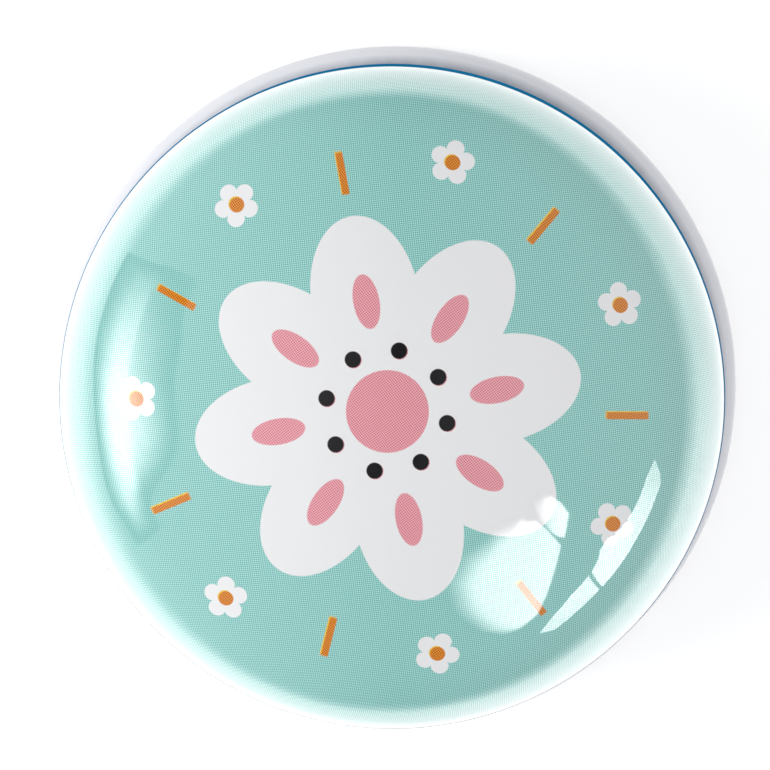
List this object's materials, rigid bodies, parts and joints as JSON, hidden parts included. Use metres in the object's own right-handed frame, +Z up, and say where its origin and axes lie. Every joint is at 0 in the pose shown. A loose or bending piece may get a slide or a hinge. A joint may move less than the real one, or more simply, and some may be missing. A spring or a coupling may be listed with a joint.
{
  "type": "round keepsake tin",
  "caption": "Small round tin with a domed push-on lid over a straight-walled base that stands on a rolled foot.",
  "frame": {"origin": "centre of the flat foot that the tin stands on, on the tin's axis", "axes": "+Z up along the tin's axis, out through the lid; +X and +Y across it, +Y towards the top of the print"},
  "size_m": [0.0568, 0.0568, 0.0244],
  "materials": {
    "printed_tin": "gloss",
    "white_enamel": "gloss"
  },
  "bodies": {
    "base": {"base_wall": "white_enamel", "base_bottom": "white_enamel"},
    "lid": {"lid": "printed_tin"}
  },
  "joints": [
    {"name": "lid_lift", "type": "slide", "parent": "base", "child": "lid", "axis": [0, 0, 1], "range_m": [0, 0.03]}
  ]
}
